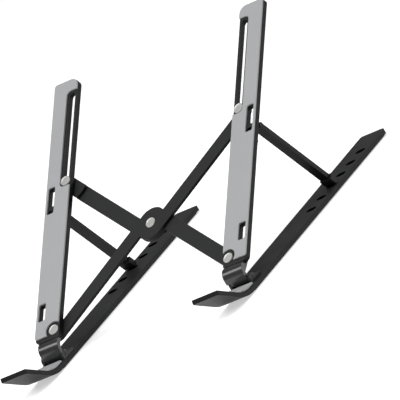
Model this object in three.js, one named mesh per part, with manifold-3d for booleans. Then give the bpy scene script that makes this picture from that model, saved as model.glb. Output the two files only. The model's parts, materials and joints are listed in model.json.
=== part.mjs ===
// Folding X-frame laptop stand: two padded rails on two base bars, joined by a scissor.
// Millimetres, +Z up, -Y is the user's side, the desk is z = 0.
import * as THREE from 'three';
import { mergeVertices } from 'three/addons/utils/BufferGeometryUtils.js';
import Module from 'manifold-3d';

const wasm = await Module();
wasm.setup();

// ---------------------------------------------------------------- driving sizes
const gap = 0.3; // clearance between neighbouring pieces
const tilt = 31.8; // slope of the rails, degrees

const railSpacing = 183.3; // between the rail centrelines
const railLength = 240;
const railWidth = 23;
const railThick = 3.8;
const railNose = 3.5; // bare metal in front of the pad
const padThick = 1.4;
const frontHeight = 25; // pad top at its front edge, above the desk

const barWidth = 24.3;
const barThick = 3.7;
const barOffset = 1.5; // bar centreline outboard of the rail centreline
const barRear = 257; // rear end behind the pad's front edge
const soleThick = 0.8;
const lipStart = 19; // where the bar starts to bend up, in front of the pad's edge
const lipRadius = 38.5;
const lipAngle = 31.5;
const lipStraight = 28;

const rivetInset = 5.1; // rivet line to the inner edge of the rail
const frontRivetU = 4.3;
const slotMargin = 15.7; // last rivet position to the rear end of the rail
const shankRadius = 1.7;
const bushWall = 0.35;
const washerThick = 1.2;
const armThick = 2.5;
const armHalfWidth = 6.2;
const armStep = 7.6; // each half of an arm runs this far beside the centre
const headRadius = 4.3;
const headHeight = 1.2;
const tailRadius = 3.6;

const hingeY = -6;
const hingeZ = 8.4;
const hingePinRadius = 1.4;
const knuckleRadius = 3.2;
const bracketInset = 4; // from the outer edge of the rail
const earThick = 2.2;

const strutAt = 0.5208; // pivot of the strut along the rail, share of its length
const strutPinDepth = 8.6; // below the pad top
const strutPinRadius = 1.2;
const strutWidth = 7.4;
const strutThick = 4.2;
const lugThick = 1.3;
const footWidth = 10.4;
const footRadius = 2.8;
const footHover = 0.35;
const holePitch = 20.35;
const holeCount = 6;
const holesBehindFoot = 3;
const footHoleY = 158.9;
const holeLength = 8.8;
const holeWidth = 7.4;
const holeInset = 1.4; // hole centres inboard of the strut's centreline

// ---------------------------------------------------------------- derived sizes
const rad = Math.PI / 180;
const barTop = soleThick + gap + barThick;
const barMid = barTop - barThick / 2;
const railTop = -padThick - gap;
const railLow = railTop - railThick;
const washerTop = railLow - gap;
const washerLow = washerTop - washerThick;
const armTop = washerLow - gap;
const armLow = armTop - armThick;
const lowArmTop = armLow - gap;
const lowArmLow = lowArmTop - armThick;

const rivetX = railSpacing / 2 - railWidth / 2 + rivetInset;
const slotEndU = railLength - slotMargin;
const armSpan = slotEndU - frontRivetU;
const rearRivetU = frontRivetU + Math.sqrt(armSpan ** 2 - (2 * rivetX) ** 2);
const centreU = (frontRivetU + rearRivetU) / 2;
const rivetLine = Math.atan2(rearRivetU - frontRivetU, 2 * rivetX);
const armAngle = rivetLine + Math.asin(armStep / (armSpan / 2));
const armHalf = Math.sqrt((armSpan / 2) ** 2 - armStep ** 2);
const discRadius = armStep + armHalfWidth;
const bushRadius = shankRadius + gap + bushWall;
const slotHalf = bushRadius + gap;
const slotFront = rearRivetU - bushRadius - 0.6;
const slotRear = slotEndU + bushRadius + 0.4;
const strutU = strutAt * railLength;

const sinT = Math.sin(tilt * rad);
const cosT = Math.cos(tilt * rad);
const lipA = lipAngle * rad;
const lipEndY = -lipStart - lipRadius * Math.sin(lipA) - lipStraight * Math.cos(lipA);
const tipY = lipEndY - (barThick / 2) * Math.sin(lipA);
const shiftY = -(tipY + barRear) / 2; // puts the origin under the middle of the stand

// outboard positions measured from the rail centreline
const half = railWidth / 2;
const bracketIn = -half + gap;
const bracketOut = half - bracketInset;
const earInA = bracketIn + 0.7;
const earInB = earInA + earThick;
const earOutA = bracketOut + gap;
const earOutB = earOutA + earThick;
const strutO = half - gap - strutWidth / 2;
const lugIn = strutO - strutWidth / 2 - gap - lugThick;

// ---------------------------------------------------------------- frames
const X = new THREE.Vector3(1, 0, 0);
const Y = new THREE.Vector3(0, 1, 0);
const Z = new THREE.Vector3(0, 0, 1);
const U = new THREE.Vector3(0, cosT, sinT);
const N = new THREE.Vector3(0, -sinT, cosT);

function frame(a, b, c, x, y, z) {
  return new THREE.Matrix4().makeBasis(a, b, c).setPosition(x, y + shiftY, z);
}

// point (u, n) of the rail section as desk coordinates (y, z)
function onRail(u, n) {
  return [u * cosT - n * sinT, frontHeight + u * sinT + n * cosT];
}

// ---------------------------------------------------------------- solids
function toSolid(geometry) {
  const g = geometry.index ? geometry.toNonIndexed() : geometry.clone();
  g.deleteAttribute('normal');
  g.deleteAttribute('uv');
  const merged = mergeVertices(g, 1e-4);
  const mesh = new wasm.Mesh({
    numProp: 3,
    vertProperties: new Float32Array(merged.attributes.position.array),
    triVerts: new Uint32Array(merged.index.array),
  });
  return new wasm.Manifold(mesh);
}

function fromSolid(solid) {
  const mesh = solid.getMesh();
  const g = new THREE.BufferGeometry();
  g.setAttribute('position', new THREE.BufferAttribute(new Float32Array(mesh.vertProperties), 3));
  g.setIndex(new THREE.BufferAttribute(new Uint32Array(mesh.triVerts), 1));
  const flat = g.toNonIndexed();
  flat.computeVertexNormals();
  return flat;
}

function join(first, ...rest) {
  return fromSolid(rest.reduce((s, g) => s.add(toSolid(g)), toSolid(first)));
}

function cut(first, ...rest) {
  return fromSolid(rest.reduce((s, g) => s.subtract(toSolid(g)), toSolid(first)));
}

function common(a, b) {
  return fromSolid(toSolid(a).intersect(toSolid(b)));
}

// ---------------------------------------------------------------- outlines
function arc(cx, cy, r, from, to, steps) {
  const points = [];
  for (let i = 0; i <= steps; i += 1) {
    const a = (from + ((to - from) * i) / steps) * rad;
    points.push([cx + r * Math.cos(a), cy + r * Math.sin(a)]);
  }
  return points;
}

// closed outline through corners [x, y, radius], each corner rounded by its radius
function rounded(corners, steps = 5) {
  const points = [];
  corners.forEach(([x, y, r], i) => {
    if (!r) {
      points.push([x, y]);
      return;
    }
    const [px, py] = corners[(i + corners.length - 1) % corners.length];
    const [nx, ny] = corners[(i + 1) % corners.length];
    const a = new THREE.Vector2(px - x, py - y).normalize();
    const b = new THREE.Vector2(nx - x, ny - y).normalize();
    const open = Math.acos(a.dot(b)) / 2;
    const reach = r / Math.tan(open);
    const mid = a.clone().add(b).normalize().multiplyScalar(r / Math.sin(open));
    const c = new THREE.Vector2(x, y).add(mid);
    const start = new THREE.Vector2(x, y).add(a.multiplyScalar(reach)).sub(c);
    const end = new THREE.Vector2(x, y).add(b.multiplyScalar(reach)).sub(c);
    let turn = end.angle() - start.angle();
    if (turn > Math.PI) turn -= 2 * Math.PI;
    if (turn < -Math.PI) turn += 2 * Math.PI;
    const first = start.angle() / rad;
    points.push(...arc(c.x, c.y, r, first, first + turn / rad, steps));
  });
  return points;
}

function slotOutline(cx, cy, lengthX, lengthY) {
  const r = Math.min(lengthX, lengthY) / 2;
  const dx = lengthX / 2;
  const dy = lengthY / 2;
  const c = [[cx - dx, cy - dy], [cx + dx, cy - dy], [cx + dx, cy + dy], [cx - dx, cy + dy]];
  return rounded(c.map((p) => [...p, r * 0.999]), 5);
}

function circle(cx, cy, r, steps = 20) {
  return arc(cx, cy, r, 0, 360, steps).slice(0, -1);
}

function shapeOf(points) {
  return new THREE.Shape(points.map((p) => new THREE.Vector2(p[0], p[1])));
}

// outline in the plane of matrix columns 0 and 1, raised along column 2 from low to high
function prism(points, low, high, matrix) {
  const g = new THREE.ExtrudeGeometry(shapeOf(points), { depth: high - low, bevelEnabled: false });
  g.translate(0, 0, low);
  g.applyMatrix4(matrix);
  return g;
}

// turned piece: profile of [radius, height] about column 2 of the matrix
function turned(profile, matrix, steps = 16) {
  const g = new THREE.LatheGeometry(profile.map((p) => new THREE.Vector2(p[0], p[1])), steps);
  g.rotateX(Math.PI / 2);
  g.applyMatrix4(matrix);
  return g;
}

// ---------------------------------------------------------------- placing helpers
const plate = frame(X, U, N, 0, 0, frontHeight); // rail plane, x across and u along

function inRail(points, low, high) {
  return prism(points, low, high, plate);
}

// outline across the rail given as [outboard, u] for one side
function railOutline(side, points) {
  return points.map(([o, u]) => [side * (railSpacing / 2 + o), u]);
}

// section drawn in desk coordinates (y, z), spanning outboard positions a to b
function across(side, section, a, b) {
  const x0 = side * (railSpacing / 2 + a);
  const x1 = side * (railSpacing / 2 + b);
  return prism(section, Math.min(x0, x1), Math.max(x0, x1), frame(Y, Z, X, 0, 0, 0));
}

// turned piece standing on the rail plane at (x, u)
function onPlate(x, u, profile, steps) {
  const at = frame(X, U, N, x, 0, frontHeight);
  at.multiply(new THREE.Matrix4().makeTranslation(0, u, 0));
  return turned(profile, at, steps);
}

// turned piece lying along x at desk position (y, z), spanning outboard positions a to b
function axle(side, y, z, radius, a, b, steps = 20) {
  return across(side, circle(y, z, radius, steps), a, b);
}

// ---------------------------------------------------------------- materials
const paint = {
  anodised: { color: 0x3a3b3a, roughness: 0.45, metalness: 0.6 },
  pad: { color: 0xa9aaac, roughness: 0.85, metalness: 0 },
  rivet: { color: 0xd4d4d0, roughness: 0.3, metalness: 0.9 },
  steel: { color: 0x9ea3a2, roughness: 0.35, metalness: 0.9 },
  rubber: { color: 0x1d1e1e, roughness: 0.9, metalness: 0 },
  nylon: { color: 0x2a2b2b, roughness: 0.6, metalness: 0 },
};

const stand = new THREE.Group();
stand.name = 'laptop_stand';

function add(name, geometry, look) {
  const mesh = new THREE.Mesh(geometry, new THREE.MeshStandardMaterial({ ...paint[look] }));
  mesh.name = name;
  stand.add(mesh);
}

// ---------------------------------------------------------------- base bar and lip
// point of the bar's section: arc angle a (degrees) of the bend, offset towards the top face
function onBend(a, offset) {
  const r = lipRadius - offset;
  return [-lipStart - r * Math.sin(a * rad), barMid + lipRadius - r * Math.cos(a * rad)];
}

function bendLine(from, to, offset, steps) {
  const points = [];
  for (let i = 0; i <= steps; i += 1) {
    points.push(onBend(from + ((to - from) * i) / steps, offset));
  }
  return points;
}

function lipEnd(offset) {
  const [y, z] = onBend(lipAngle, offset);
  return [y - lipStraight * Math.cos(lipA), z + lipStraight * Math.sin(lipA)];
}

function barSection() {
  const h = barThick / 2;
  const top = bendLine(0, lipAngle, h, 8);
  const low = bendLine(0, lipAngle, -h, 8).reverse();
  return [[barRear, barTop], ...top, lipEnd(h), lipEnd(-h), ...low, [barRear, barTop - barThick]];
}

function holeRow(side, grow) {
  const holes = [];
  for (let i = 0; i < holeCount; i += 1) {
    const y = footHoleY + (holesBehindFoot - i) * holePitch;
    const x = side * (railSpacing / 2 + strutO - holeInset);
    holes.push(slotOutline(x, y, holeLength + grow, holeWidth + grow));
  }
  return holes;
}

const mountRivetY = 3.6;
const mountRivetO = [-4.2, 3.7];

function mountHoles(side, radius, low, high) {
  const desk = frame(X, Y, Z, 0, 0, 0);
  return mountRivetO.map((o) => {
    const x = side * (railSpacing / 2 + o);
    return prism(circle(x, mountRivetY, radius, 12), low, high, desk);
  });
}

function baseBar(side) {
  const a = barOffset - barWidth / 2;
  const b = barOffset + barWidth / 2;
  const desk = frame(X, Y, Z, 0, 0, 0);
  const body = across(side, barSection(), a, b);
  const corners = [[a, tipY - 2, 4], [b, tipY - 2, 4], [b, barRear, 5], [a, barRear, 2]];
  const plan = rounded(corners.map(([o, y, r]) => [side * (railSpacing / 2 + o), y, r]));
  const trimmed = common(body, prism(plan, -5, 60, desk));
  const holes = holeRow(side, 0).map((p) => prism(p, -1, barTop + 1, desk));
  return cut(trimmed, ...holes, ...mountHoles(side, 1.6, -1, barTop + 1));
}

function baseSole(side) {
  const inset = 1.5;
  const a = barOffset - barWidth / 2 + inset;
  const b = barOffset + barWidth / 2 - inset;
  const corners = [[a, -lipStart + 3], [b, -lipStart + 3], [b, barRear - 3], [a, barRear - 3]];
  const plan = rounded(corners.map(([o, y]) => [side * (railSpacing / 2 + o), y, 3]), 4);
  return prism(plan, 0, soleThick, frame(X, Y, Z, 0, 0, 0));
}

function lipPad(side) {
  const low = barThick / 2 + gap;
  const thick = 1.8;
  const flat = [-lipStart + 6.5, barMid + low];
  const under = [flat, ...bendLine(0, 22, low, 6)];
  const over = bendLine(0, 22, low + thick, 6).reverse();
  const section = [...under, ...over, [flat[0] - 0.6, barMid + low + thick]];
  return across(side, section, barOffset - barWidth / 2 + 1, barOffset + barWidth / 2 - 1);
}

// ---------------------------------------------------------------- hinge between bar and rail
function hingeMount(side) {
  const low = barTop + gap;
  const floor = low + 2;
  const head = arc(hingeY, hingeZ, knuckleRadius, 180, 40, 8);
  const ear = [...head, [3, floor], [8, floor], [8, low], [hingeY - knuckleRadius, low]];
  const web = [[hingeY + knuckleRadius + 1, low], [8, low], [8, floor]];
  web.push([hingeY + knuckleRadius + 1, floor]);
  const body = join(
    across(side, ear, earInA, earInB),
    across(side, ear, earOutA, earOutB),
    across(side, web, earInB - 0.5, earOutA + 0.5),
  );
  const bore = axle(side, hingeY, hingeZ, hingePinRadius + gap, earInA - 1, earOutB + 1);
  return cut(body, bore, ...mountHoles(side, 1.6, 0, floor + 1));
}

function mountRivet(side, index) {
  const x = side * (railSpacing / 2 + mountRivetO[index]);
  const seat = barTop + gap + 2 + gap;
  const foot = barTop - barThick + 0.3;
  const profile = [[0, foot], [1.3, foot], [1.3, seat], [2.4, seat], [2.2, seat + 0.6]];
  profile.push([1.4, seat + 0.9], [0, seat + 0.9]);
  return turned(profile, frame(X, Y, Z, x, mountRivetY, 0), 14);
}

function hingeBracket(side) {
  const top = onRail(-railNose - gap, railTop - 0.2);
  const low = onRail(-railNose - gap, railLow + 0.2);
  const front = [[hingeY + 0.5, top[1] - 0.4], [hingeY - 2.2, top[1] - 2.1]];
  front.push([hingeY - 3.6, top[1] - 5.1], [hingeY - 4, top[1] - 8.8]);
  front.push([hingeY - knuckleRadius, hingeZ]);
  const back = [[hingeY, hingeZ], [hingeY - 0.3, hingeZ + 2.6], [hingeY - 0.5, hingeZ + 5]];
  back.push([hingeY, low[1] - 3], [hingeY + 1.8, low[1] - 1.3]);
  const skirt = across(side, [top, ...front, ...back, low], bracketIn, bracketOut);
  const tongue = [onRail(14, washerTop), onRail(14, washerTop - 2.2), onRail(-1, washerTop - 2.2)];
  tongue.push([hingeY - 1, hingeZ + 5.5], [hingeY - 1.5, low[1] - 1], onRail(-4.2, washerTop));
  const knuckle = axle(side, hingeY, hingeZ, knuckleRadius, earInB + gap, bracketOut);
  const relief = axle(side, hingeY, hingeZ, knuckleRadius + 0.8, bracketIn - 1, earInB + gap);
  const bore = axle(side, hingeY, hingeZ, hingePinRadius + gap, bracketIn - 1, bracketOut + 1);
  const body = join(cut(skirt, relief), knuckle, across(side, tongue, 1, bracketOut));
  const hole = inRail(circle(side * (railSpacing / 2 + 4.25), 8, 1.6, 12), -12, -2);
  return cut(body, bore, hole);
}

function smallRivet(side, o, u, seat) {
  const tip = railTop - 0.3;
  const profile = [[0, seat - 0.9], [1.4, seat - 0.9], [2.2, seat - 0.6], [2.4, seat]];
  profile.push([1.3, seat], [1.3, tip], [0, tip]);
  return onPlate(side * (railSpacing / 2 + o), u, profile, 14);
}

// ---------------------------------------------------------------- rail and its pad
function windows(grow, crosspiece) {
  const a = half - 8.5 - grow;
  const b = half - 2.5 + grow;
  const spans = [[16.3, 31.7]];
  if (crosspiece) spans.push([strutU - 8.4, strutU - 4.2], [strutU - 0.8, strutU + 16]);
  else spans.push([strutU - 8.4, strutU + 16]);
  const r = 1 + grow;
  return spans.map(([f, t]) => [
    [a, f - grow, r], [b, f - grow, r], [b, t + grow, r], [a, t + grow, r],
  ]);
}

function railWindows(side, grow, crosspiece, low, high) {
  return windows(grow, crosspiece).map((w) => {
    const points = w.map(([o, u, r]) => [side * (railSpacing / 2 + o), u, r]);
    return inRail(rounded(points, 3), low, high);
  });
}

function rail(side) {
  const corners = [[-half, -railNose, 1.5], [half, -railNose, 4.5], [half, railLength, 2.5]];
  corners.push([-half, railLength, 6.5]);
  const plan = rounded(corners.map(([o, u, r]) => [side * (railSpacing / 2 + o), u, r]), 6);
  const body = inRail(plan, railLow, railTop);
  const low = railLow - 1;
  const high = railTop + 1;
  const slotMid = (slotFront + slotRear) / 2;
  const slot = inRail(
    slotOutline(side * rivetX, slotMid, 2 * slotHalf, slotRear - slotFront), low, high);
  const bore = inRail(circle(side * rivetX, frontRivetU, shankRadius + gap), low, high);
  const x1 = side * (railSpacing / 2 + 4.25);
  const x2 = side * (railSpacing / 2 + strutO);
  const small = [inRail(circle(x1, 8, 1.6, 12), low, high)];
  small.push(inRail(circle(x2, strutU - 15, 1.6, 12), low, high));
  return cut(body, slot, bore, ...small, ...railWindows(side, 0, true, low, high));
}

function railPad(side) {
  const edge = half - gap;
  const corners = [[-edge, 0, 1], [edge, 0, 2], [edge, railLength - gap, 2.4]];
  corners.push([-edge, railLength - gap, 6.3]);
  const plan = rounded(corners.map(([o, u, r]) => [side * (railSpacing / 2 + o), u, r]), 6);
  const body = inRail(plan, -padThick, 0);
  const deep = -half + 9.9;
  const outer = -half - 5;
  const f = slotFront - 2.5;
  const t = slotRear + 2;
  const open = [[outer, f], [deep, f, 4], [deep, t, 4], [outer, t]];
  const channel = open.map(([o, u, r]) => [side * (railSpacing / 2 + o), u, r]);
  const well = circle(side * rivetX, frontRivetU, 7, 28);
  return cut(
    body,
    inRail(rounded(channel, 5), -padThick - 1, 1),
    inRail(well, -padThick - 1, 1),
    ...railWindows(side, 0.4, false, -padThick - 1, 1),
  );
}

// ---------------------------------------------------------------- scissor arms
// outline of an arm; side +1 runs from the left front to the right rear
function armOutline(side) {
  const dip = Math.asin((armStep - armHalfWidth) / discRadius) / rad;
  const local = [
    ...arc(-armHalf, armStep, armHalfWidth, 270, 90, 12),
    ...arc(0, 0, discRadius, 90, -dip, 12),
    ...arc(armHalf, -armStep, armHalfWidth, 90, -90, 12),
    ...arc(0, 0, discRadius, 270, 180 - dip, 12),
  ];
  const c = Math.cos(armAngle);
  const s = Math.sin(armAngle);
  return local.map(([a, b]) => [side * (a * c - b * s), centreU + a * s + b * c]);
}

function armBores(side) {
  const r = shankRadius + gap;
  return [
    inRail(circle(0, centreU, r + 0.8), lowArmLow - 1, armTop + 1),
    inRail(circle(-side * rivetX, frontRivetU, r), lowArmLow - 1, armTop + 1),
    inRail(circle(side * rivetX, rearRivetU, r), lowArmLow - 1, armTop + 1),
  ];
}

function upperArm() {
  return cut(inRail(armOutline(1), armLow, armTop), ...armBores(1));
}

// the lower arm steps up to the upper arm's level round each end rivet
function lowerArm() {
  const outline = armOutline(-1);
  const ends = [[rivetX, frontRivetU], [-rivetX, rearRivetU]];
  const around = (r) => ends.map(([x, u]) => inRail(circle(x, u, r, 32), -40, 10));
  const [f1, r1] = around(14);
  const [f2, r2] = around(16.6);
  const flat = cut(inRail(outline, lowArmLow, lowArmTop), f1, r1);
  const raised = common(inRail(outline, armLow, armTop), join(f2, r2));
  const wall = common(inRail(outline, lowArmLow, armTop), cut(join(f2, r2), f1, r1));
  return cut(join(flat, wall, raised), ...armBores(-1));
}

// rivet through the plates between n = seat (under its head) and n = back (over its tail)
function rivetProfile(radius, shank, seat, back) {
  const top = seat + headHeight;
  return [
    [0, back - 1.1], [tailRadius * 0.7, back - 1.1], [tailRadius, back - 0.7],
    [tailRadius, back], [shank, back], [shank, seat], [radius, seat],
    [radius, top - 0.45], [radius - 0.6, top], [radius - 1.5, top - 0.25], [0, top - 0.25],
  ];
}

function endRivet(side, u) {
  return onPlate(
    side * rivetX, u, rivetProfile(headRadius, shankRadius, railTop + gap, armLow - gap), 20);
}

function ring(x, u, inner, outer, low, high) {
  const profile = [[inner, low], [outer, low], [outer, high], [inner, high], [inner, low]];
  return onPlate(x, u, profile, 20);
}

// ---------------------------------------------------------------- strut
const pinAt = onRail(strutU, -strutPinDepth);
const footAt = [footHoleY, barTop + footHover + footRadius];
const strutReach = Math.hypot(footAt[0] - pinAt[0], footAt[1] - pinAt[1]);
const along = [(footAt[0] - pinAt[0]) / strutReach, (footAt[1] - pinAt[1]) / strutReach];
const footStart = strutReach - 6.5;

// strut section: distance d from the pin along the strut, w across it
function onStrut(d, w) {
  return [pinAt[0] + d * along[0] - w * along[1], pinAt[1] + d * along[1] + w * along[0]];
}

function strutBlock(from, to, thick) {
  const t = thick / 2;
  return [onStrut(from, -t), onStrut(to, -t), onStrut(to, t), onStrut(from, t)];
}

function strut(side) {
  const a = strutO - strutWidth / 2;
  const b = strutO + strutWidth / 2;
  const shank = across(side, strutBlock(0, footStart - gap, strutThick), a, b);
  const eye = axle(side, pinAt[0], pinAt[1], strutThick / 2 + 0.3, a, b);
  const tenon = strutBlock(footStart - 3, footStart + 3.5, 2.4);
  const body = join(shank, eye, across(side, tenon, strutO - 1.5, strutO + 1.5));
  return cut(body, axle(side, pinAt[0], pinAt[1], strutPinRadius + gap, a - 1, b + 1, 14));
}

function strutFoot(side) {
  const r = footRadius;
  const section = [onStrut(footStart, -r), onStrut(strutReach, -r)];
  for (let i = 1; i < 10; i += 1) {
    const a = (-90 + 18 * i) * rad;
    section.push(onStrut(strutReach + r * Math.cos(a), r * Math.sin(a)));
  }
  section.push(onStrut(strutReach, r), onStrut(footStart, r));
  const w = footWidth / 2;
  const body = across(side, section, strutO - w, strutO + w);
  const pocket = strutBlock(footStart - 1, footStart + 3.5 + gap, 2.4 + 2 * gap);
  return cut(body, across(side, pocket, strutO - 1.5 - gap, strutO + 1.5 + gap));
}

function strutHanger(side) {
  const r = strutPinRadius + 1.8;
  const top = washerTop;
  const eye = arc(strutU, -strutPinDepth, r, 40, -90, 8);
  const cheek = [[strutU - 20, top], [strutU - 20, top - 1.6], ...eye.slice().reverse()];
  cheek.push([strutU + r * Math.cos(40 * rad), top]);
  const section = cheek.map(([u, n]) => onRail(u, n));
  const web = [[strutU - 20, top], [strutU - 20, top - 1.6], [strutU - 10, top - 1.6]];
  web.push([strutU - 10, top]);
  const body = join(
    across(side, section, lugIn, lugIn + lugThick),
    across(side, web.map(([u, n]) => onRail(u, n)), lugIn + 0.5, half - 2),
  );
  const bore = axle(side, pinAt[0], pinAt[1], strutPinRadius + gap, lugIn - 1, half + 1, 14);
  const x = side * (railSpacing / 2 + strutO);
  return cut(body, bore, inRail(circle(x, strutU - 15, 1.6, 12), -14, -2));
}

// ---------------------------------------------------------------- assembly
for (const [side, tag] of [[-1, 'left'], [1, 'right']]) {
  add(`base_bar_${tag}`, baseBar(side), 'anodised');
  add(`base_sole_${tag}`, baseSole(side), 'rubber');
  add(`lip_pad_${tag}`, lipPad(side), 'pad');
  add(`hinge_mount_${tag}`, hingeMount(side), 'anodised');
  add(`mount_rivet_inner_${tag}`, mountRivet(side, 0), 'rivet');
  add(`mount_rivet_outer_${tag}`, mountRivet(side, 1), 'rivet');
  add(`hinge_pin_${tag}`, axle(
    side, hingeY, hingeZ, hingePinRadius, earInA + 0.2, earOutB - 0.2, 16), 'steel');
  add(`hinge_bracket_${tag}`, hingeBracket(side), 'anodised');
  add(`bracket_rivet_${tag}`, smallRivet(side, 4.25, 8, washerTop - 2.2 - gap), 'rivet');
  add(`rail_${tag}`, rail(side), 'anodised');
  add(`rail_pad_${tag}`, railPad(side), 'pad');
  add(`strut_hanger_${tag}`, strutHanger(side), 'anodised');
  add(`hanger_rivet_${tag}`, smallRivet(side, strutO, strutU - 15, washerTop - 1.6 - gap), 'rivet');
  add(`strut_pin_${tag}`, axle(
    side, pinAt[0], pinAt[1], strutPinRadius, lugIn + 0.2, half - 0.5, 14), 'steel');
  add(`strut_${tag}`, strut(side), 'anodised');
  add(`strut_foot_${tag}`, strutFoot(side), 'anodised');
  add(`front_rivet_${tag}`, endRivet(side, frontRivetU), 'rivet');
  add(`front_washer_${tag}`, ring(
    side * rivetX, frontRivetU, shankRadius + gap, 4.6, washerLow, washerTop), 'nylon');
  add(`rear_rivet_${tag}`, endRivet(side, rearRivetU), 'rivet');
  add(`rear_bush_${tag}`, ring(
    side * rivetX, rearRivetU, shankRadius + gap, bushRadius, railLow, railTop), 'nylon');
  add(`rear_washer_${tag}`, ring(
    side * rivetX, rearRivetU, shankRadius + gap, 4.6, washerLow, washerTop), 'nylon');
}

add('cross_arm_upper', upperArm(), 'anodised');
add('cross_arm_lower', lowerArm(), 'anodised');
add('centre_rivet', onPlate(
  0, centreU, rivetProfile(headRadius, shankRadius + 0.8, armTop + gap, lowArmLow - gap), 20), 'rivet');

export default stand;
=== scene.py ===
import bpy
import bmesh
import json
import math
from mathutils import Matrix, Vector


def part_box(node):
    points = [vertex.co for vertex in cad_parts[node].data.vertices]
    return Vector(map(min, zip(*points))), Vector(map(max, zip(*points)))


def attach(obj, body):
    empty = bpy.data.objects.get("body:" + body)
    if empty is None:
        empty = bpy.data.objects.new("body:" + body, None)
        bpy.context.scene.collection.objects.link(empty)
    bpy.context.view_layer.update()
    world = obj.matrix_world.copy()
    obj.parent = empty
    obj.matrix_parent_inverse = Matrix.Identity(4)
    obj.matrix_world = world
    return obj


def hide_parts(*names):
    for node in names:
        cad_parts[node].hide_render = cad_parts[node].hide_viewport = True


bl_info = {
    "name": "Folding laptop stand",
    "version": (1, 0, 0),
    "blender": (4, 5, 0),
    "location": "View3D > Sidebar > Laptop stand",
    "description": "Builds the finished surfaces of a folding X-frame laptop stand",
    "category": "Add Mesh",
}

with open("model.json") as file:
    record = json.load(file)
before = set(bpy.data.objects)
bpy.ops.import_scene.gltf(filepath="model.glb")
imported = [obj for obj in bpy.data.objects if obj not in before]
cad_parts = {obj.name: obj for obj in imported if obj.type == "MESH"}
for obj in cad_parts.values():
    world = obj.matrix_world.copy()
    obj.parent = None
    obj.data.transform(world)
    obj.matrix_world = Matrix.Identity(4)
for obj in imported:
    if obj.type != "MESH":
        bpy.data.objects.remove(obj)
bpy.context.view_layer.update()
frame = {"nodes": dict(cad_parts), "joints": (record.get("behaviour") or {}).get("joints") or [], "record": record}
SIDES = ("left", "right")
BODY_OF = {
    node: body
    for body, nodes in frame["record"]["behaviour"]["bodies"].items()
    for node in nodes
}
JOINTS = {joint["name"]: joint for joint in frame["joints"]}
RAIL_NORMAL = Vector(JOINTS["scissor"]["axis"]).normalized()
UP = Vector((0, 0, 1))

MERGE_DISTANCE = 0.00001
FLAT_ANGLE = math.radians(0.6)  # triangles nearer to level than this are one face
SHARP_ANGLE = math.radians(32)  # shading stays crisp past this
CORNER_ANGLE = math.radians(35)  # edges are rounded past this
SOLE_EDGE = 0.0003
# faces that point less upward than UPPER_FACE get the painted side shade
UPPER_FACE = 0.6  # faces that point less upward than this count as sides

# where the strut holes lie in a base bar, whose walls get painted shade
HOLE_MARGIN = 0.0009
HOLE_TOP = 0.0047
HOLES_FROM, HOLES_TO = -0.07, 0.16

# turned rivets
SHANK_RADIUS = 0.0017
TAIL_HEIGHT = 0.0011
RIVET_STEPS = 48

FLOOR_SIZE = 6.0
FLOOR_DROP = 0.0002  # keeps the floor clear of the soles


# ---------------------------------------------------------------- sizes and colours
def length(name, text, value):
    return bpy.props.FloatProperty(
        name=name, description=text, default=value, min=0.0, unit="LENGTH", precision=5)


def colour(name, text, value):
    return bpy.props.FloatVectorProperty(
        name=name, description=text, default=value, size=4, min=0.0, max=1.0, subtype="COLOR")


class StandSizes(bpy.types.PropertyGroup):
    metal_edge: length("Metal edge", "Rounding of the stamped metal's edges", 0.00045)
    bar_edge: length("Bar edge", "Rounding of the base bars' edges", 0.0006)
    pad_edge: length("Pad edge", "Rounding of the grip pads' edges", 0.00055)
    foot_edge: length("Foot edge", "Rounding of the strut feet", 0.0009)
    rivet_radius: length("Rivet radius", "Radius of the large rivet heads", 0.0043)
    rivet_rim: length("Rivet rim", "Width of the raised rim round a rivet head", 0.0011)
    rivet_height: length("Rivet height", "Height of the large rivet heads", 0.0012)
    rivet_dish: length("Rivet dish", "Depth of the dish in a rivet head", 0.00035)


class StandColours(bpy.types.PropertyGroup):
    anodised: colour("Anodised", "Black anodised metal", (0.0195, 0.0200, 0.0198, 1))
    anodised_worn: colour(
        "Anodised, rubbed", "Lighter rubbed anodising", (0.026, 0.027, 0.0265, 1))
    bar: colour("Bars", "Black anodised base bars", (0.0190, 0.0200, 0.0196, 1))
    grip: colour("Grip pad", "Grey silicone of the pads", (0.312, 0.315, 0.321, 1))
    grip_light: colour("Grip pad, light", "Lighter mottle of the pads", (0.330, 0.333, 0.339, 1))
    rivet: colour("Rivets", "Bare satin aluminium", (0.50, 0.50, 0.475, 1))
    rubber: colour("Soles", "Black rubber", (0.004, 0.004, 0.0042, 1))


# ---------------------------------------------------------------- shared effects
def group_of(name, inputs, outputs):
    tree = bpy.data.node_groups.new(name, "ShaderNodeTree")
    for label, kind, value in inputs:
        socket = tree.interface.new_socket(label, in_out="INPUT", socket_type=kind)
        socket.default_value = value
    for label, kind in outputs:
        tree.interface.new_socket(label, in_out="OUTPUT", socket_type=kind)
    return tree, tree.nodes.new("NodeGroupInput"), tree.nodes.new("NodeGroupOutput")


def blasted_grain():
    """Fine even grain of blasted metal or moulded silicone, as a height."""
    if "Blasted grain" in bpy.data.node_groups:
        return bpy.data.node_groups["Blasted grain"]
    tree, start, end = group_of(
        "Blasted grain", [("Scale", "NodeSocketFloat", 2600.0)], [("Height", "NodeSocketFloat")])
    place = tree.nodes.new("ShaderNodeTexCoord")
    fine = tree.nodes.new("ShaderNodeTexNoise")
    fine.inputs["Detail"].default_value = 3.0
    fine.inputs["Roughness"].default_value = 0.65
    tree.links.new(place.outputs["Object"], fine.inputs["Vector"])
    tree.links.new(start.outputs["Scale"], fine.inputs["Scale"])
    tree.links.new(fine.outputs["Fac"], end.inputs["Height"])
    return tree


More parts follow.
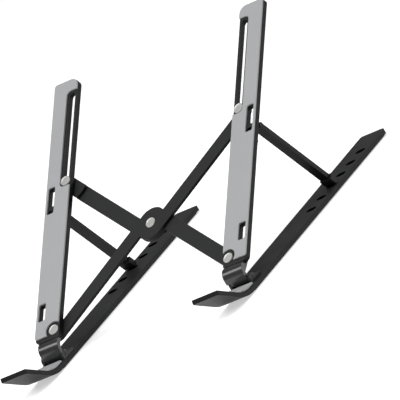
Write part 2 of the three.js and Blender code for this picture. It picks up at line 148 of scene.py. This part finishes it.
def handling_marks():
    """Broad soft patches with faint rubbed streaks, from 0 (clean) to 1 (rubbed)."""
    if "Handling marks" in bpy.data.node_groups:
        return bpy.data.node_groups["Handling marks"]
    tree, start, end = group_of(
        "Handling marks", [("Scale", "NodeSocketFloat", 30.0)], [("Amount", "NodeSocketFloat")])
    place = tree.nodes.new("ShaderNodeTexCoord")
    broad = tree.nodes.new("ShaderNodeTexNoise")
    broad.inputs["Detail"].default_value = 4.0
    stretch = tree.nodes.new("ShaderNodeMapping")
    stretch.inputs["Scale"].default_value = (9.0, 1.0, 1.0)
    streaks = tree.nodes.new("ShaderNodeTexNoise")
    streaks.inputs["Scale"].default_value = 60.0
    streaks.inputs["Detail"].default_value = 5.0
    ramp = tree.nodes.new("ShaderNodeMapRange")
    ramp.inputs["From Min"].default_value = 0.42
    ramp.inputs["From Max"].default_value = 0.70
    blend = tree.nodes.new("ShaderNodeMath")
    blend.operation = "MULTIPLY"
    tree.links.new(place.outputs["Object"], broad.inputs["Vector"])
    tree.links.new(start.outputs["Scale"], broad.inputs["Scale"])
    tree.links.new(place.outputs["Object"], stretch.inputs["Vector"])
    tree.links.new(stretch.outputs["Vector"], streaks.inputs["Vector"])
    tree.links.new(broad.outputs["Fac"], ramp.inputs["Value"])
    tree.links.new(ramp.outputs["Result"], blend.inputs[0])
    tree.links.new(streaks.outputs["Fac"], blend.inputs[1])
    tree.links.new(blend.outputs["Value"], end.inputs["Amount"])
    return tree


def finish_of(name, base, rubbed, rough, rough_rubbed, metal, grain, depth, patch=30.0,
              specular=0.5):
    """A finish whose colour and roughness drift between two values over a fine grain."""
    if name in bpy.data.materials:
        return bpy.data.materials[name]
    material = bpy.data.materials.new(name)
    material.use_nodes = True
    tree = material.node_tree
    shader = tree.nodes["Principled BSDF"]
    shader.inputs["Metallic"].default_value = metal
    shader.inputs["Specular IOR Level"].default_value = specular
    marks = tree.nodes.new("ShaderNodeGroup")
    marks.node_tree = handling_marks()
    marks.inputs["Scale"].default_value = patch
    tone = tree.nodes.new("ShaderNodeMix")
    tone.data_type = "RGBA"
    tone.inputs["A"].default_value = base
    tone.inputs["B"].default_value = rubbed
    tree.links.new(marks.outputs["Amount"], tone.inputs["Factor"])
    tree.links.new(tone.outputs["Result"], shader.inputs["Base Color"])
    sheen = tree.nodes.new("ShaderNodeMapRange")
    sheen.inputs["To Min"].default_value = rough
    sheen.inputs["To Max"].default_value = rough_rubbed
    tree.links.new(marks.outputs["Amount"], sheen.inputs["Value"])
    tree.links.new(sheen.outputs["Result"], shader.inputs["Roughness"])
    fine = tree.nodes.new("ShaderNodeGroup")
    fine.node_tree = blasted_grain()
    fine.inputs["Scale"].default_value = grain
    bump = tree.nodes.new("ShaderNodeBump")
    bump.inputs["Strength"].default_value = 0.5
    bump.inputs["Distance"].default_value = depth
    tree.links.new(fine.outputs["Height"], bump.inputs["Height"])
    tree.links.new(bump.outputs["Normal"], shader.inputs["Normal"])
    return material


def anodised_metal():
    c = bpy.context.scene.stand_colours
    return finish_of("Black anodised", c.anodised, c.anodised_worn, 0.42, 0.34, 0.0, 2600,
                     0.00004, 30.0, 0.22)


def anodised_bar():
    c = bpy.context.scene.stand_colours
    return finish_of("Black anodised bar", c.bar, c.anodised_worn, 0.46, 0.38, 0.0, 2600,
                     0.00004, 30.0, 0.16)


def grip_silicone():
    c = bpy.context.scene.stand_colours
    return finish_of("Grey silicone", c.grip, c.grip_light, 0.74, 0.62, 0.0, 1500, 0.00009, 18.0)


def sole_rubber():
    c = bpy.context.scene.stand_colours
    return finish_of(
        "Black rubber", c.rubber, (0.008, 0.008, 0.008, 1), 0.85, 0.7, 0.0, 1200, 0.0001)


def bare_rivet():
    c = bpy.context.scene.stand_colours
    return finish_of("Satin rivet", c.rivet, (0.62, 0.62, 0.60, 1), 0.34, 0.26, 0.35, 2200, 0.00003)


# a darker copy of the rivet metal for the dished face: painted shade that leaves the rim lighter
def rivet_dish_shade():
    return finish_of(
        "Rivet dish", (0.40, 0.40, 0.385, 1), (0.48, 0.48, 0.46, 1), 0.45, 0.36, 0.3, 1800, 0.00005)


def bracket_gloss():
    c = bpy.context.scene.stand_colours
    return finish_of("Glossy anodised", c.anodised, c.anodised_worn, 0.24, 0.2, 0.0, 2600,
                     0.00001, 30.0, 0.6)


# a darker black for the struts, also used as painted shade on the side faces of bars, rails and arms
def strut_tone_and_side_shade():
    return finish_of(
        "Black anodised strut and painted side shade", (0.0040, 0.0042, 0.0041, 1), (0.010, 0.0104, 0.0102, 1),
        0.42, 0.36, 0.0, 2600, 0.00004, 30.0, 0.10)


# near-black painted shade for the walls of the holes
def hole_shade():
    return finish_of(
        "Hole wall painted shade", (0.001, 0.001, 0.001, 1), (0.002, 0.002, 0.002, 1), 0.9, 0.85, 0.0, 1200,
        0.00002, 30.0, 0.0)


def slide_nylon():
    return finish_of(
        "Black nylon", (0.004, 0.004, 0.004, 1), (0.01, 0.01, 0.01, 1), 0.5, 0.4, 0.0, 900,
        0.00004, 30.0, 0.2)


# ---------------------------------------------------------------- making pieces
def piece_from(bm, node, materials):
    """The finished piece that rides with the node's body and replaces it."""
    name = node + "_finish"
    mesh = bpy.data.meshes.new(name)
    bm.to_mesh(mesh)
    bm.free()
    mesh.shade_smooth()
    mesh.set_sharp_from_angle(angle=SHARP_ANGLE)
    piece = bpy.data.objects.new(name, mesh)
    bpy.context.scene.collection.objects.link(piece)
    even = piece.modifiers.new("Even shading", "WEIGHTED_NORMAL")
    even.keep_sharp = True
    even.weight = 100
    for material in materials:
        mesh.materials.append(material)
    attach(piece, BODY_OF[node])
    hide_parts(node)
    return piece


def outline_of(node):
    """The node's solid with its triangles joined into whole faces."""
    bm = bmesh.new()
    bm.from_mesh(frame["nodes"][node].data)
    bmesh.ops.remove_doubles(bm, verts=bm.verts, dist=MERGE_DISTANCE)
    bmesh.ops.dissolve_limit(bm, angle_limit=FLAT_ANGLE, verts=bm.verts, edges=bm.edges)
    for face in bm.faces:
        face.material_index = 0
    return bm


def round_edges(bm, width, segments):
    edges = [
        e for e in bm.edges
        if len(e.link_faces) == 2 and e.calc_face_angle(0.0) > CORNER_ANGLE
    ]
    bmesh.ops.bevel(
        bm, geom=edges, affect="EDGES", offset=width, offset_type="OFFSET", segments=segments,
        profile=0.5, clamp_overlap=True, material=-1)


def softened(node, width, materials, segments=2):
    bm = outline_of(node)
    round_edges(bm, width, segments)
    piece = piece_from(bm, node, materials)
    return piece


def node_centre(node):
    low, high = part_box(node)
    return (Vector(low) + Vector(high)) / 2


def rivet_head(node):
    """Turned rivet: a head with a raised rim and a dished face, its shank and its upset tail."""
    s = bpy.context.scene.stand_sizes
    r, h, rim, dish = s.rivet_radius, s.rivet_height, s.rivet_rim, s.rivet_dish
    mesh = frame["nodes"][node].data
    along = [v.co.dot(RAIL_NORMAL) for v in mesh.vertices]
    centre = node_centre(node)
    top = max(along) - centre.dot(RAIL_NORMAL)
    foot = min(along) - centre.dot(RAIL_NORMAL)
    bm = bmesh.new()
    profile = [
        (0.0, top - dish), (r - rim - 0.0004, top - dish), (r - rim, top - 0.00005),
        (r - rim + 0.0003, top), (r - 0.00045, top), (r - 0.0001, top - 0.0003),
        (r, top - 0.0006), (r, top - h), (SHANK_RADIUS, top - h),
        (SHANK_RADIUS, foot + TAIL_HEIGHT), (0.0034, foot + TAIL_HEIGHT), (0.0036, foot + 0.0008), (0.0035, foot + 0.0003),
        (0.0028, foot), (0.0, foot + 0.0002),
    ]
    verts = [bm.verts.new((x, 0.0, z)) for x, z in profile]
    edges = [bm.edges.new(pair) for pair in zip(verts, verts[1:])]
    bmesh.ops.spin(
        bm, geom=verts + edges, cent=(0, 0, 0), axis=(0, 0, 1), angle=2 * math.pi,
        steps=RIVET_STEPS, use_merge=True)
    bmesh.ops.remove_doubles(bm, verts=bm.verts, dist=0.000005)
    bmesh.ops.recalc_face_normals(bm, faces=bm.faces)
    # the dished face inside the rim gets the painted shade
    for face in bm.faces:
        middle = face.calc_center_median()
        shaded_dish = middle.xy.length < r - rim - 0.0003 and middle.z > top - 0.0006
        face.material_index = 1 if shaded_dish else 0
    turn = RAIL_NORMAL.to_track_quat("Z", "Y").to_matrix().to_4x4()
    bmesh.ops.transform(bm, matrix=Matrix.Translation(centre) @ turn, verts=bm.verts)
    piece = piece_from(bm, node, [bare_rivet(), rivet_dish_shade()])
    return piece


def repaint(node, material):
    target = frame["nodes"][node]
    target.data.materials.clear()
    target.data.materials.append(material)


def paint_side_shade(piece, up, shade_index):
    """The cut edges and undersides get painted shade, a darker black, the faces towards up keep their finish."""
    for face in piece.data.polygons:
        if face.normal.dot(up) < UPPER_FACE:
            face.material_index = shade_index


def shade_holes(bar):
    """The walls of the row of holes get painted shade, a near-black."""
    xs = [v.co.x for v in bar.data.vertices]
    left, right = min(xs), max(xs)
    for face in bar.data.polygons:
        x, y, z = face.center
        across = left + HOLE_MARGIN < x < right - HOLE_MARGIN
        along = HOLES_FROM < y < HOLES_TO
        nx, ny, nz = face.normal
        upright = abs(nz) < 0.5 and abs(nx) + abs(ny) > 0.8
        if across and along and upright and z < HOLE_TOP:
            face.material_index = 1


class StandOperator:
    bl_options = {"REGISTER", "UNDO"}


class STAND_OT_base_bars(StandOperator, bpy.types.Operator):
    """Base bars with their upturned lips, rubber soles and lip pads"""
    bl_idname = "stand.base_bars"
    bl_label = "Base bars"

    def execute(self, context):
        s = context.scene.stand_sizes
        for side in SIDES:
            bar = softened(
                f"base_bar_{side}", s.bar_edge, [anodised_bar(), hole_shade(), strut_tone_and_side_shade()],
                3)
            # painted shade on the bar's side faces
            paint_side_shade(bar, UP, 2)
            # painted shade on the hole walls
            shade_holes(bar)
            softened(f"base_sole_{side}", SOLE_EDGE, [sole_rubber()])
            softened(f"lip_pad_{side}", s.pad_edge, [grip_silicone()], 3)
        return {"FINISHED"}


class STAND_OT_hinges(StandOperator, bpy.types.Operator):
    """Hinge mounts, brackets, pins and their small rivets"""
    bl_idname = "stand.hinges"
    bl_label = "Hinges"

    def execute(self, context):
        s = context.scene.stand_sizes
        for side in SIDES:
            softened(f"hinge_mount_{side}", s.metal_edge * 0.6, [anodised_metal()])
            softened(f"hinge_bracket_{side}", s.metal_edge * 0.7, [bracket_gloss()])
            repaint(f"hinge_pin_{side}", anodised_metal())
            for node in ("mount_rivet_inner", "mount_rivet_outer", "bracket_rivet"):
                repaint(f"{node}_{side}", bare_rivet())
        return {"FINISHED"}


class STAND_OT_rails(StandOperator, bpy.types.Operator):
    """Slotted rails with their grey grip pads"""
    bl_idname = "stand.rails"
    bl_label = "Rails and pads"

    def execute(self, context):
        s = context.scene.stand_sizes
        for side in SIDES:
            rail = softened(
                f"rail_{side}", s.metal_edge, [anodised_metal(), strut_tone_and_side_shade()])
            # painted shade on the rail's side faces
            paint_side_shade(rail, RAIL_NORMAL, 1)
            softened(f"rail_pad_{side}", s.pad_edge, [grip_silicone()], 3)
        return {"FINISHED"}


class STAND_OT_struts(StandOperator, bpy.types.Operator):
    """Prop struts with their hangers, pins and feet"""
    bl_idname = "stand.struts"
    bl_label = "Prop struts"

    def execute(self, context):
        s = context.scene.stand_sizes
        for side in SIDES:
            softened(f"strut_{side}", s.metal_edge, [strut_tone_and_side_shade()])
            softened(f"strut_foot_{side}", s.foot_edge, [slide_nylon()], 3)
            softened(f"strut_hanger_{side}", s.metal_edge * 0.5, [anodised_metal()])
            repaint(f"strut_pin_{side}", anodised_metal())
            repaint(f"hanger_rivet_{side}", bare_rivet())
        return {"FINISHED"}


class STAND_OT_scissor(StandOperator, bpy.types.Operator):
    """Crossed arms with their turned rivets, washers and slide bushes"""
    bl_idname = "stand.scissor"
    bl_label = "Scissor arms"

    def execute(self, context):
        s = context.scene.stand_sizes
        for node in ("cross_arm_upper", "cross_arm_lower"):
            arm = softened(node, s.metal_edge, [anodised_metal(), strut_tone_and_side_shade()])
            # painted shade on the arm's side faces
            paint_side_shade(arm, RAIL_NORMAL, 1)
        for node in ("front_rivet_left", "front_rivet_right", "rear_rivet_left",
                     "rear_rivet_right", "centre_rivet"):
            rivet_head(node)
        for side in SIDES:
            for node in ("front_washer", "rear_washer", "rear_bush"):
                repaint(f"{node}_{side}", slide_nylon())
        return {"FINISHED"}


class STAND_OT_stage(StandOperator, bpy.types.Operator):
    """Camera, pale floor and soft studio light"""
    bl_idname = "stand.stage"
    bl_label = "Stage"

    def execute(self, context):
        scene = context.scene
        lens = bpy.data.cameras.new("Camera")
        lens.sensor_width = 36.0
        lens.lens = 987.70
        lens.clip_end = 60.0
        camera = bpy.data.objects.new("Camera", lens)
        right = Vector((0.778697, 0.378205, -0.500591))
        up = Vector((0.323678, 0.441333, 0.836934))
        back = Vector((0.53746, -0.813748, 0.221248))
        turn = Matrix((right, up, back)).transposed().to_4x4()
        camera.matrix_world = Matrix.Translation((4.52705, -6.80998, 1.90286)) @ turn
        scene.collection.objects.link(camera)
        scene.camera = camera

        bm = bmesh.new()
        bmesh.ops.create_grid(bm, x_segments=1, y_segments=1, size=FLOOR_SIZE)
        mesh = bpy.data.meshes.new("Floor")
        bm.to_mesh(mesh)
        bm.free()
        floor = bpy.data.objects.new("Floor", mesh)
        floor.location.z = -FLOOR_DROP
        white = bpy.data.materials.new("Pale floor")
        white.use_nodes = True
        paint = white.node_tree.nodes["Principled BSDF"]
        paint.inputs["Base Color"].default_value = (0.80, 0.80, 0.80, 1)
        paint.inputs["Emission Color"].default_value = (1, 1, 1, 1)
        paint.inputs["Emission Strength"].default_value = 0.52
        paint.inputs["Roughness"].default_value = 0.9
        paint.inputs["Specular IOR Level"].default_value = 0.1
        mesh.materials.append(white)
        scene.collection.objects.link(floor)

        world = bpy.data.worlds.new("Studio")
        world.use_nodes = True
        world.node_tree.nodes["Background"].inputs["Color"].default_value = (1, 1, 1, 1)
        world.node_tree.nodes["Background"].inputs["Strength"].default_value = 0.22
        scene.world = world
        for name, place, size, power in (
            ("Key", (0.2, -0.95, 1.62), 2.0, 34.0),
            ("Fill", (-1.0, -0.8, 1.3), 0.7, 7.0),
            ("Back", (0.9, 1.5, 1.3), 1.2, 8.0),
        ):
            lamp = bpy.data.lights.new(name, "AREA")
            lamp.shape = "DISK"
            lamp.size = size
            lamp.energy = power
            light = bpy.data.objects.new(name, lamp)
            aim = Vector((0.0, 0.0, 0.05)) - Vector(place)
            light.matrix_world = (
                Matrix.Translation(place) @ aim.to_track_quat("-Z", "Y").to_matrix().to_4x4())
            scene.collection.objects.link(light)
        scene.view_settings.view_transform = "Standard"
        return {"FINISHED"}


class STAND_PT_panel(bpy.types.Panel):
    """Lists the stand's pieces, sizes and colours"""
    bl_idname = "STAND_PT_panel"
    bl_label = "Laptop stand"
    bl_space_type = "VIEW_3D"
    bl_region_type = "UI"
    bl_category = "Laptop stand"

    def draw(self, context):
        for operator in OPERATORS:
            self.layout.operator(operator.bl_idname)
        for group in (context.scene.stand_sizes, context.scene.stand_colours):
            for name in group.__annotations__:
                self.layout.prop(group, name)


OPERATORS = (
    STAND_OT_stage, STAND_OT_base_bars, STAND_OT_hinges, STAND_OT_rails, STAND_OT_struts,
    STAND_OT_scissor,
)
CLASSES = (StandSizes, StandColours) + OPERATORS + (STAND_PT_panel,)


def register():
    for cls in CLASSES:
        bpy.utils.register_class(cls)
    bpy.types.Scene.stand_sizes = bpy.props.PointerProperty(type=StandSizes)
    bpy.types.Scene.stand_colours = bpy.props.PointerProperty(type=StandColours)


def unregister():
    del bpy.types.Scene.stand_colours
    del bpy.types.Scene.stand_sizes
    for cls in reversed(CLASSES):
        bpy.utils.unregister_class(cls)


def main():
    register()
    bpy.ops.stand.stage()
    bpy.ops.stand.base_bars()
    bpy.ops.stand.hinges()
    bpy.ops.stand.rails()
    bpy.ops.stand.struts()
    bpy.ops.stand.scissor()


if __name__ == "__main__":
    main()
